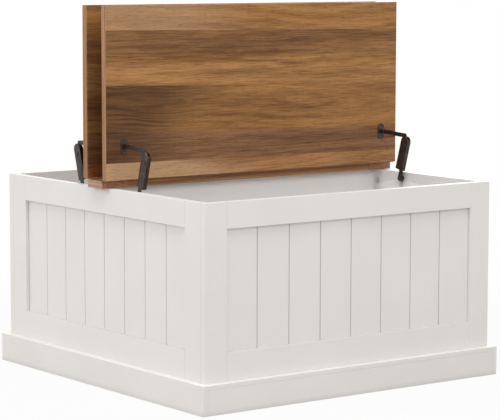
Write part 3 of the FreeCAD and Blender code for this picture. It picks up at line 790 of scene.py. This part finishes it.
class NodeTool:
    """A geometry node tree with named inputs, made into plain meshes."""

    def __init__(self, name: str) -> None:
        """Start an empty tree with one geometry input and one output.

        Args:
            name: Name of the tree.
        """
        self.tree = bpy.data.node_groups.new(name, "GeometryNodeTree")
        self.tree.is_modifier = True
        self.graph = Graph(self.tree)
        for way in ("INPUT", "OUTPUT"):
            self.tree.interface.new_socket("Geometry", in_out=way, socket_type="NodeSocketGeometry")
        self.inlet = self.graph.add("NodeGroupInput")
        self.settings: dict[str, object] = {}

    def input(self, name: str, kind: str, value: object) -> Socket:
        """Add a named input.

        Args:
            name: Its name.
            kind: Float, Int or Material.
            value: What the modifier sets it to.

        Returns:
            The output of the input node that carries it.
        """
        socket = self.tree.interface.new_socket(name, in_out="INPUT", socket_type=f"NodeSocket{kind}")
        self.settings[socket.identifier] = value
        return self.inlet.outputs[name]

    def position(self) -> tuple[Socket, ...]:
        """The three numbers of a point's place."""
        return self.graph.parts(self.graph.result("GeometryNodeInputPosition"))

    def same(self, first: Socket, second: object) -> Socket:
        """1 where two whole numbers are the same, and 0 elsewhere."""
        return self.graph.calc("COMPARE", first, second, NEAR)

    def carried(self, name: str, kind: str) -> Socket:
        """An attribute that the mesh carries."""
        node = self.graph.add("GeometryNodeInputNamedAttribute", data_type=kind)
        return self.graph.fill(node, Name=name).outputs["Attribute"]

    def stored(self, geometry: Socket, name: str, value: Socket) -> Socket:
        """The geometry with a number stored at each point."""
        node = self.graph.add("GeometryNodeStoreNamedAttribute", data_type="FLOAT", domain="POINT")
        return self.graph.fill(node, Geometry=geometry, Name=name, Value=value).outputs[0]

    def moved(self, geometry: Socket, **values: Socket) -> Socket:
        """The geometry with its points moved, by the inputs of Set Position."""
        node = self.graph.add("GeometryNodeSetPosition")
        return self.graph.fill(node, Geometry=geometry, **values).outputs[0]

    def close(self, geometry: Socket, finish: Finish) -> None:
        """End the tree with real geometry and its material.

        Args:
            geometry: The output with what the tree has made.
            finish: Its finish.
        """
        material = self.input("Finish", "Material", finish.material())
        realized = self.graph.result("GeometryNodeRealizeInstances", geometry)
        painted = self.graph.add("GeometryNodeSetMaterial")
        self.graph.fill(painted, Geometry=realized, Material=material)
        self.graph.fill(self.graph.add("NodeGroupOutput"), Geometry=painted.outputs[0])

    def run(self, name: str, start: Mesh) -> Piece:
        """Make a plain mesh with the tree.

        Args:
            name: Name of the new piece.
            start: The mesh that goes into the tree.

        Returns:
            The new piece, without a modifier.
        """
        piece = link_object(name, start)
        modifier = piece.modifiers.new(name, "NODES")
        modifier.node_group = self.tree
        for identifier, value in self.settings.items():
            modifier[identifier] = value
        graph = bpy.context.evaluated_depsgraph_get()
        made = bpy.data.meshes.new_from_object(piece.evaluated_get(graph))
        piece.modifiers.remove(modifier)
        piece.data = made
        made.name = name
        soften(made)
        return piece


@dataclass
class GroovedSheet:
    """A flat sheet whose face is divided into boards by V grooves.

    Each board takes three columns of a grid: the bottom of the groove before it and its own two edges.
    """

    boards: int
    field_width: float
    lip: float
    height: float
    thick: float
    groove_width: float = 0.003
    groove_depth: float = 0.002
    board_columns: float = 3.0

    def columns(self, tool: NodeTool) -> tuple[Socket, Socket, Socket]:
        """Work out where each column of a unit grid goes.

        Args:
            tool: The tree being built, with the sheet's inputs added here.

        Returns:
            The count of columns, each column's place along the sheet, and 1 where it is a groove's bottom.
        """
        calc = tool.graph.calc
        boards = tool.input("Boards", "Int", self.boards)
        field = tool.input("Field width", "Float", self.field_width)
        lip = tool.input("Lip", "Float", self.lip)
        groove = tool.input("Groove width", "Float", self.groove_width)
        last = calc("MULTIPLY", boards, self.board_columns)
        column = calc("ROUND", calc("MULTIPLY", calc("ADD", tool.position()[0], 0.5), last))
        board = calc("FLOOR", calc("DIVIDE", calc("ADD", column, NEAR), self.board_columns))
        phase = calc("SUBTRACT", column, calc("MULTIPLY", board, self.board_columns))
        pitch = calc("DIVIDE", field, boards)
        half = calc("MULTIPLY", groove, 0.5)
        place = calc("MULTIPLY_ADD", board, pitch, calc("MULTIPLY", field, -0.5))
        place = calc("MULTIPLY_ADD", tool.same(phase, 1.0), half, place)
        place = calc("MULTIPLY_ADD", tool.same(phase, 2.0), calc("SUBTRACT", pitch, half), place)
        first_end = tool.same(column, 0.0)
        last_end = tool.same(column, last)
        place = calc("MULTIPLY_ADD", calc("SUBTRACT", last_end, first_end), lip, place)
        inside = calc("SUBTRACT", 1.0, calc("ADD", first_end, last_end))
        return calc("ADD", last, 1.0), place, calc("MULTIPLY", tool.same(phase, 0.0), inside)

    def make(self, name: str, finish: Finish) -> Piece:
        """Make the sheet with its face at Y 0, its foot at Z 0 and its middle at X 0.

        Args:
            name: Name of the new piece.
            finish: Its finish.

        Returns:
            The new piece.
        """
        tool = NodeTool(f"grooved_{name}")
        graph = tool.graph
        count, place, in_groove = self.columns(tool)
        deep = tool.input("Groove depth", "Float", self.groove_depth)
        height = tool.input("Height", "Float", self.height)
        thick = tool.input("Thickness", "Float", self.thick)
        grid = graph.add("GeometryNodeMeshGrid")
        graph.fill(grid, Size_X=1.0, Size_Y=1.0, Vertices_X=count, Vertices_Y=2)
        flat = tool.stored(grid.outputs["Mesh"], GROOVE_AND_SHADE, in_groove)
        level = graph.calc("MULTIPLY", graph.calc("ADD", tool.position()[1], 0.5), height)
        back = tool.moved(flat, Position=graph.vector(place, thick, level))
        face = graph.add("GeometryNodeExtrudeMesh", mode="FACES")
        forward = graph.vector(0.0, graph.calc("MULTIPLY", thick, -1.0), 0.0)
        graph.fill(face, Mesh=back, Offset=forward, Offset_Scale=1.0, Individual=False)
        groove = tool.carried(GROOVE_AND_SHADE, "FLOAT")
        sunk = graph.vector(0.0, graph.calc("MULTIPLY", groove, deep), 0.0)
        cut = tool.moved(face.outputs["Mesh"], Selection=face.outputs["Top"], Offset=sunk)
        closed = graph.add("GeometryNodeJoinGeometry")
        for side in (cut, graph.result("GeometryNodeFlipFaces", back)):
            graph.feed(closed.inputs[0], side)
        merged = graph.add("GeometryNodeMergeByDistance")
        graph.fill(merged, Geometry=closed.outputs[0], Distance=MERGE)
        # Marks groove bottoms on the front face, where the white paint puts painted shade in the grooves.
        in_front = graph.calc("LESS_THAN", tool.position()[1], graph.calc("MULTIPLY", thick, 0.5))
        mark = graph.calc("MULTIPLY", groove, in_front)
        tool.close(tool.stored(merged.outputs[0], GROOVE_AND_SHADE, mark), finish)
        return tool.run(name, bpy.data.meshes.new(name))


@dataclass(frozen=True)
class CrossRecess:
    """The cross cut into a head for the driver."""

    span: float
    width: float
    depth: float


@dataclass
class TurnedFasteners:
    """A group of equal turned pieces, such as screws, each at its own place.

    Stations give depth from the outer end and radius, in order. Every piece is turned about its own axis
    by a random amount from a fixed seed.
    """

    node: str
    finish: Finish
    stations: Stations
    head_end: HeadEnd = HeadEnd.WIDER
    recess: CrossRecess | None = None
    segments: int = 24
    seed: int = 7

    def places(self) -> list[tuple[Vector, Vector]]:
        """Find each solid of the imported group.

        Returns:
            The outer end of each solid, and the direction that it is driven in.
        """
        shape = merged_shape(self.node)
        found = []
        left = set(shape.verts)
        while left:
            queue = [left.pop()]
            solid = []
            while queue:
                vert = queue.pop()
                solid.append(vert.co.copy())
                near = {edge.other_vert(vert) for edge in vert.link_edges} & left
                left -= near
                queue.extend(near)
            found.append(self.outer_end(solid))
        shape.free()
        return sorted(found, key=lambda place: tuple(round(part, 4) for part in place[0]))

    def outer_end(self, points: list[Vector]) -> tuple[Vector, Vector]:
        """Tell where a solid's outer end is.

        Args:
            points: The solid's corners.

        Returns:
            The middle of its outer end, and the direction inwards.
        """
        low = Vector([min(point[axis] for point in points) for axis in range(3)])
        high = Vector([max(point[axis] for point in points) for axis in range(3)])
        extent = high - low
        middle = (low + high) / 2
        usual = sorted(extent)[1]
        main = max(range(3), key=lambda axis: abs(extent[axis] - usual))
        if self.head_end is HeadEnd.WIDER:
            beyond = {}
            for end in (low[main], high[main]):
                close = [point for point in points if abs(point[main] - end) < END_REACH]
                beyond[end] = max((point - middle).length for point in close)
            end = max(beyond, key=beyond.get)
        else:
            end = min((low[main], high[main]), key=abs)
        outer = middle.copy()
        outer[main] = end
        inwards = Vector((0, 0, 0))
        inwards[main] = 1.0 if middle[main] > end else -1.0
        return outer, inwards

    def body(self, tool: NodeTool) -> Socket:
        """Turn one piece, from its outer end at the origin towards +Z.

        Args:
            tool: The tree being built.

        Returns:
            The output with the piece.
        """
        graph = tool.graph
        last = len(self.stations) - 1
        segments = tool.input("Rim segments", "Int", self.segments)
        bare = graph.add("GeometryNodeMeshCylinder", fill_type="NGON")
        graph.fill(bare, Vertices=segments, Side_Segments=last, Radius=1.0, Depth=1.0)
        x, y, z = tool.position()
        ring = graph.calc("ROUND", graph.calc("MULTIPLY", graph.calc("ADD", z, 0.5), float(last)))
        looked_up = []
        for column, what in enumerate(("depth", "radius")):
            switch = graph.add("GeometryNodeIndexSwitch", data_type="FLOAT")
            for _ in range(last - 1):
                switch.index_switch_items.new()
            graph.feed(switch.inputs["Index"], ring)
            for index, station in enumerate(self.stations):
                value = tool.input(f"Station {index + 1} {what}", "Float", station[column])
                graph.feed(switch.inputs[index + 1], value)
            looked_up.append(switch.outputs[0])
        depth, radius = looked_up
        place = graph.vector(graph.calc("MULTIPLY", x, radius), graph.calc("MULTIPLY", y, radius), depth)
        turned = tool.moved(bare.outputs["Mesh"], Position=place)
        return turned if self.recess is None else self.cross_cut(tool, turned)

    def cross_cut(self, tool: NodeTool, head: Socket) -> Socket:
        """Cut the cross recess into the outer end.

        Args:
            tool: The tree being built.
            head: The turned piece.

        Returns:
            The output with the cut piece.
        """
        graph = tool.graph
        span = tool.input("Recess span", "Float", self.recess.span)
        width = tool.input("Recess width", "Float", self.recess.width)
        depth = tool.input("Recess depth", "Float", self.recess.depth)
        tall = graph.calc("MULTIPLY", depth, 2.0)
        cut = graph.add("GeometryNodeMeshBoolean", operation="DIFFERENCE", solver="EXACT")
        graph.feed(cut.inputs["Mesh 1"], head)
        for size in (graph.vector(span, width, tall), graph.vector(width, span, tall)):
            graph.feed(cut.inputs["Mesh 2"], graph.result("GeometryNodeMeshCube", size))
        return cut.outputs["Mesh"]

    def rotation(self, tool: NodeTool) -> Socket:
        """Turn a piece into its own direction, and about its axis by a random amount.

        Args:
            tool: The tree being built.

        Returns:
            The output with the rotation.
        """
        graph = tool.graph
        aligned = graph.add("FunctionNodeAlignRotationToVector", axis="Z")
        graph.fill(aligned, Vector=tool.carried(DRIVE, "FLOAT_VECTOR"))
        amount = graph.add("FunctionNodeRandomValue", data_type="FLOAT")
        graph.feed(known_as(amount.inputs, "Max_001"), math.pi)
        graph.feed(known_as(amount.inputs, "Seed"), tool.input("Turn seed", "Int", self.seed))
        twist = graph.add("FunctionNodeAxisAngleToRotation")
        graph.fill(twist, Axis=(0.0, 0.0, 1.0), Angle=known_as(amount.outputs, "Value_001"))
        turned = graph.add("FunctionNodeRotateRotation", rotation_space="LOCAL")
        return graph.fill(turned, Rotation=aligned.outputs[0], Rotate_By=twist.outputs[0]).outputs[0]

    def make(self) -> Piece:
        """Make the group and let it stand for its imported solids.

        Returns:
            The settled piece.
        """
        name = f"{self.node}.{self.finish.slot}"
        places = self.places()
        start = bpy.data.meshes.new(name)
        start.from_pydata([outer for outer, _ in places], [], [])
        drive = start.attributes.new(DRIVE, "FLOAT_VECTOR", "POINT")
        drive.data.foreach_set("vector", [part for _, inwards in places for part in inwards])
        tool = NodeTool(f"turned_{self.node}")
        piece = self.body(tool)
        spread = tool.graph.add("GeometryNodeInstanceOnPoints")
        points = tool.inlet.outputs["Geometry"]
        tool.graph.fill(spread, Points=points, Instance=piece, Rotation=self.rotation(tool))
        tool.close(spread.outputs[0], self.finish)
        return settle(tool.run(name, start), self.node, self.finish)


# Sub-assemblies


@dataclass
class Plinth:
    """The base board and its four skirts."""

    easing: Easing = Easing(0.0007, 0.004, ("base_board", "_skirt"), seam_tone=0.2)

    def build(self) -> None:
        """Ease and paint the five boards."""
        runs = {"base_board": Run.ACROSS, "front_skirt": Run.ACROSS, "back_skirt": Run.ACROSS,
                "left_skirt": Run.DEEP, "right_skirt": Run.DEEP}
        for node, run in runs.items():
            plain_piece(node, PAINT[run], self.easing)


@dataclass
class PanelledWall:
    """One wall of the box: two stiles, two rails and a grooved panel."""

    name: str
    stiles: tuple[str, str]
    run: Run
    turn: float
    boards: int = 8
    lip: float = 0.01
    easing: Easing = Easing(0.0004, 0.004, ("_stile", "_rail", "_panel"))
    # Strength of the painted shade on the ledge.
    ledge_shade_tone: float = 0.5

    def about(self) -> Matrix:
        """The turn from the front wall to this one."""
        return Matrix.Rotation(math.radians(self.turn), 4, "Z")

    def paint_light_inside(self, piece: Piece) -> None:
        """Give a piece's inner faces the lighter paint, which is painted light inside the box.

        Args:
            piece: A painted piece of this wall.
        """
        inwards = self.about() @ Vector((0, 1, 0))
        piece.data.materials.append(INSIDE_LIGHT_PAINT.material())
        for polygon in piece.data.polygons:
            if polygon.normal.dot(inwards) > FACING:
                polygon.material_index = 1

    def paint_ledge_shade(self, rail: Piece) -> None:
        """Paint shade on the ledge under the panel: its upward faces are darkened.

        Args:
            rail: The bottom rail.
        """
        tones = rail.data.attributes[GROOVE_AND_SHADE].data
        for polygon in rail.data.polygons:
            if polygon.normal.z > FACING:
                tones[polygon.index].value = self.ledge_shade_tone

    def build_frame(self) -> None:
        """Ease and paint the stiles and rails, with painted light on their inner faces."""
        for end in self.stiles:
            self.paint_light_inside(plain_piece(f"{self.name}_{end}_stile", PAINT[Run.UPRIGHT], self.easing))
        top, bottom = (plain_piece(f"{self.name}_{level}_rail", PAINT[self.run], self.easing)
                       for level in ("top", "bottom"))
        self.paint_light_inside(top)
        self.paint_light_inside(bottom)
        self.paint_ledge_shade(bottom)

    def build_panel(self) -> None:
        """Make the grooved panel and set it into the frame."""
        node = f"{self.name}_panel"
        low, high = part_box(node)
        extent = high - low
        thick = min(extent.x, extent.y)
        length = max(extent.x, extent.y)
        sheet = GroovedSheet(self.boards, length - 2 * self.lip, self.lip, extent.z, thick)
        finish = PAINT[Run.UPRIGHT]
        piece = sheet.make(f"{node}.{finish.slot}", finish)
        outwards = self.about() @ Vector((0, -1, 0))
        middle = (low + high) / 2
        foot = Vector((middle.x, middle.y, low.z)) + outwards * (thick / 2)
        piece.data.transform(Matrix.Translation(foot) @ self.about())
        self.paint_light_inside(settle(piece, node, finish))

    def build(self) -> None:
        """Build the frame and its panel."""
        self.build_frame()
        self.build_panel()


@dataclass
class TopBoard:
    """A lid or the bar: veneered faces and banded edges."""

    node: str
    veneer: PlankVeneer
    face: Run
    end_band: EdgeBand
    easing: Easing = Easing(0.0007, 0.01)

    def build(self) -> None:
        """Ease the board, veneer its faces and band its edges."""
        piece = eased_copy(self.node, f"{self.node}.{self.veneer.slot}", self.easing)
        for finish in (self.veneer, LONG_BAND, self.end_band):
            piece.data.materials.append(finish.material())
        for polygon in piece.data.polygons:
            if abs(polygon.normal[self.face.value]) < FACING:
                polygon.material_index = 1 if abs(polygon.normal.x) < END_FACING else 2
        settle(piece, self.node, self.veneer)


@dataclass
class FoldingStay:
    """A folding stay between a wall and a lid: flange, link, channel arm and elbow rivet."""

    name: str
    easing: Easing = Easing(0.0003, 0.0002)
    head_radius: float = 0.0042
    head_thick: float = 0.0012
    shank_radius: float = 0.0025
    chamfer: float = 0.0004

    def rivet_stations(self, length: float) -> Stations:
        """Profile of the elbow rivet.

        Args:
            length: Its length over both heads.

        Returns:
            Depths and radii, from one head to the other.
        """
        rim = self.head_radius - self.chamfer
        one_head = ((0.0, rim), (self.chamfer, self.head_radius), (self.head_thick, self.head_radius),
                    (self.head_thick, self.shank_radius))
        other_head = tuple((length - depth, radius) for depth, radius in reversed(one_head))
        return one_head + other_head

    def build(self) -> None:
        """Ease the pressed pieces and turn the rivet."""
        for piece in ("flange", "link", "arm"):
            plain_piece(f"{self.name}_{piece}", BRONZE, self.easing)
        low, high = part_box(f"{self.name}_rivet")
        stations = self.rivet_stations(high.x - low.x)
        TurnedFasteners(f"{self.name}_rivet", BRONZE, stations, HeadEnd.ROOMWARD).make()


@dataclass(frozen=True)
class Screw:
    """A countersunk screw with a cross recess, by the radii of its head and shank and its length."""

    head: float
    shank: float
    length: float
    recess: CrossRecess
    point_share: float = 0.125

    def stations(self) -> Stations:
        """Depths and radii, from the head to the point.

        Returns:
            The four stations.
        """
        neck = (self.head - self.shank, self.shank)
        taper = (self.length - self.shank, self.shank)
        return (0.0, self.head), neck, taper, (self.length, self.shank * self.point_share)


@dataclass(frozen=True)
class Rod:
    """A rod with chamfered ends."""

    radius: float
    length: float
    chamfer: float = 0.0004

    def stations(self) -> Stations:
        """Depths and radii, from one end to the other.

        Returns:
            The four stations.
        """
        rim = self.radius - self.chamfer
        inner = self.length - self.chamfer
        return (0.0, rim), (self.chamfer, self.radius), (inner, self.radius), (self.length, rim)


@dataclass
class Hardware:
    """Hinges, screws, cams and studs of the whole table."""

    leaf_easing: Easing = Easing(0.00015, 0.002)
    stud_easing: Easing = Easing(0.0003, 0.0002)
    screw: Screw = Screw(0.0026, 0.0014, 0.013, CrossRecess(0.00312, 0.000676, 0.0009))
    base_screw: Screw = Screw(0.004, 0.002, 0.035, CrossRecess(0.0048, 0.00104, 0.0014))
    pin: Rod = Rod(0.00125, 0.06)
    bolt: Rod = Rod(0.003, 0.037)
    cam: Rod = Rod(0.0075, 0.0125)
    cam_recess: CrossRecess = CrossRecess(0.00825, 0.0018, 0.003)
    cam_segments: int = 32

    def build_hinges(self) -> None:
        """Ease the leaves and turn the pins."""
        for side in ("front", "back"):
            for part in ("bar", "lid"):
                plain_piece(f"{side}_hinge_{part}_leaves", HINGE, self.leaf_easing)
        TurnedFasteners("hinge_pins", HINGE, self.pin.stations(), HeadEnd.ROOMWARD).make()

    def build_screws(self) -> None:
        """Turn the screws of the hinges, the stays and the base."""
        for node, finish, screw in (
            ("bar_hinge_screws", HINGE_SCREW, self.screw),
            ("front_lid_screws", SCREW, self.screw),
            ("back_lid_screws", SCREW, self.screw),
            ("base_screws", SCREW, self.base_screw),
        ):
            TurnedFasteners(node, finish, screw.stations(), recess=screw.recess).make()

    def build_cams(self) -> None:
        """Turn the cam locks with their cross recess, and the bolts that they draw in."""
        TurnedFasteners("cam_locks", ZINC, self.cam.stations(), HeadEnd.ROOMWARD, self.cam_recess,
                        self.cam_segments).make()
        TurnedFasteners("cam_bolts", ZINC, self.bolt.stations(), HeadEnd.ROOMWARD).make()

    def build(self) -> None:
        """Make all of the hardware that isn't part of a stay."""
        self.build_hinges()
        self.build_screws()
        self.build_cams()
        plain_piece("stay_wall_studs", BRONZE, self.stud_easing)


# Studio


@dataclass
class Lamp:
    """A square soft light that looks at the table."""

    name: str
    place: Triple
    side: float
    power: float

    def build(self, target: Vector) -> None:
        """Hang the light and turn it towards a point.

        Args:
            target: The point.
        """
        light = bpy.data.lights.new(self.name, "AREA")
        light.shape = "SQUARE"
        light.size = self.side
        light.energy = self.power
        lamp = bpy.data.objects.new(self.name, light)
        lamp.location = self.place
        lamp.rotation_euler = (target - Vector(self.place)).to_track_quat("-Z", "Y").to_euler()
        bpy.context.scene.collection.objects.link(lamp)


@dataclass
class Studio:
    """A pale floor, soft lights, a white surround and the camera."""

    sky: float = 0.53
    floor_half: float = 30.0
    floor_level: float = -0.0004
    floor_colour: Colour = (0.52, 0.52, 0.52, 1.0)
    floor_white: float = 0.94
    fade: Pair = (0.8, 1.9)
    image_width: float = 500.0
    focal_pixels: float = 2213.3
    sensor: float = 36.0
    eye: Triple = (-2.9325, -3.9768, 0.9188)
    yaw: float = 36.523
    pitch: float = 6.484
    roll: float = 0.106
    clip_start: float = 0.1
    clip_end: float = 200.0
    lamp_target: Triple = (0.0, 0.0, 0.4)
    lamps: tuple[Lamp, ...] = (
        Lamp("key_light", (-4.2, 1.6, 2.2), 2.4, 68.0),
        Lamp("fill_light", (0.1, -3.6, 2.6), 1.8, 41.0),
        Lamp("top_light", (-1.2, -1.2, 4.2), 2.6, 98.0),
        Lamp("back_light", (3.2, 3.4, 2.2), 2.4, 52.0),
    )

    def clear(self) -> None:
        """Take away whatever Blender starts with."""
        for item in list(bpy.context.scene.objects):
            if "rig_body" not in item and item.type in {"MESH", "LIGHT", "CAMERA"}:
                bpy.data.objects.remove(item)

    def seen_directly(self, graph: Graph) -> Socket:
        """Tell whether a surface is seen directly, in a shine or through glass.

        Args:
            graph: The nodes of a material or of the surround.

        Returns:
            The output with 1 where it is, and 0 elsewhere.
        """
        path = graph.add("ShaderNodeLightPath").outputs
        seen = graph.calc("MAXIMUM", path["Is Camera Ray"], path["Is Glossy Ray"])
        return graph.calc("MAXIMUM", seen, path["Is Transmission Ray"])

    def build_surround(self) -> None:
        """A white surround that lights the table evenly."""
        world = bpy.data.worlds.new("white_surround")
        world.use_nodes = True
        bpy.context.scene.world = world
        graph = Graph(world.node_tree)
        strength = graph.span(self.seen_directly(graph), *UNIT, self.sky, 1.0)
        graph.fill(world.node_tree.nodes["Background"], Color=WHITE, Strength=strength)

    def build_floor(self) -> None:
        """A pale floor that keeps the table's shadow."""
        half = self.floor_half
        corners = ((-half, -half), (half, -half), (half, half), (-half, half))
        mesh = bpy.data.meshes.new("floor")
        mesh.from_pydata([(x, y, self.floor_level) for x, y in corners], [], [(0, 1, 2, 3)])
        material = bpy.data.materials.new("pale_floor")
        material.use_nodes = True
        material.node_tree.nodes.clear()
        graph = Graph(material.node_tree)
        away = graph.add("ShaderNodeVectorMath", operation="LENGTH")
        graph.feed(away.inputs[0], graph.place())
        white_share = graph.span(away.outputs["Value"], *self.fade, self.floor_white, 1.0)
        share = graph.calc("MULTIPLY", self.seen_directly(graph), white_share)
        matt = graph.result("ShaderNodeBsdfDiffuse", self.floor_colour)
        white = graph.result("ShaderNodeEmission", WHITE, 1.0)
        mixed = graph.result("ShaderNodeMixShader", share, matt, white)
        graph.fill(graph.add("ShaderNodeOutputMaterial"), Surface=mixed)
        mesh.materials.append(material)
        link_object("floor", mesh)

    def build_camera(self) -> None:
        """Set the camera up at the photograph's viewing angle."""
        data = bpy.data.cameras.new("camera")
        data.sensor_width = self.sensor
        data.lens = self.focal_pixels * self.sensor / self.image_width
        data.clip_start = self.clip_start
        data.clip_end = self.clip_end
        camera = bpy.data.objects.new("camera", data)
        turn = Matrix.Rotation(math.radians(-self.yaw), 4, "Z")
        tilt = Matrix.Rotation(math.radians(90.0 - self.pitch), 4, "X")
        lean = Matrix.Rotation(math.radians(self.roll), 4, "Z")
        camera.matrix_world = Matrix.Translation(self.eye) @ turn @ tilt @ lean
        bpy.context.scene.collection.objects.link(camera)
        bpy.context.scene.camera = camera

    def build(self) -> None:
        """Set the whole studio up."""
        bpy.context.scene.view_settings.view_transform = "Standard"
        self.build_surround()
        self.build_floor()
        for lamp in self.lamps:
            lamp.build(Vector(self.lamp_target))
        self.build_camera()


def write_sizes() -> None:
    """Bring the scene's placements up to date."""
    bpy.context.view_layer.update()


def main() -> None:
    """Build the studio and every sub-assembly of the table."""
    logging.basicConfig(level=logging.INFO, format="%(name)s: %(message)s")
    studio = Studio()
    studio.clear()
    studio.build()
    Plinth().build()
    for wall in (
        PanelledWall("front", ("left", "right"), Run.ACROSS, 0.0),
        PanelledWall("back", ("left", "right"), Run.ACROSS, 180.0),
        PanelledWall("left", ("front", "back"), Run.DEEP, -90.0),
        PanelledWall("right", ("front", "back"), Run.DEEP, 90.0),
    ):
        wall.build()
    divider_easing = Easing(0.0006, 0.004)
    # The divider takes the lighter paint all over, painted light inside the box.
    plain_piece("centre_divider", INSIDE_LIGHT_PAINT, divider_easing)
    TopBoard("front_lid", FRONT_VENEER, Run.DEEP, LID_END_BAND).build()
    TopBoard("back_lid", BACK_VENEER, Run.DEEP, LID_END_BAND).build()
    TopBoard("centre_bar", BAR_VENEER, Run.UPRIGHT, BAR_END_BAND).build()
    for side in ("front", "back"):
        for hand in ("left", "right"):
            FoldingStay(f"{side}_{hand}_stay").build()
    Hardware().build()
    write_sizes()


if __name__ == "__main__":
    main()
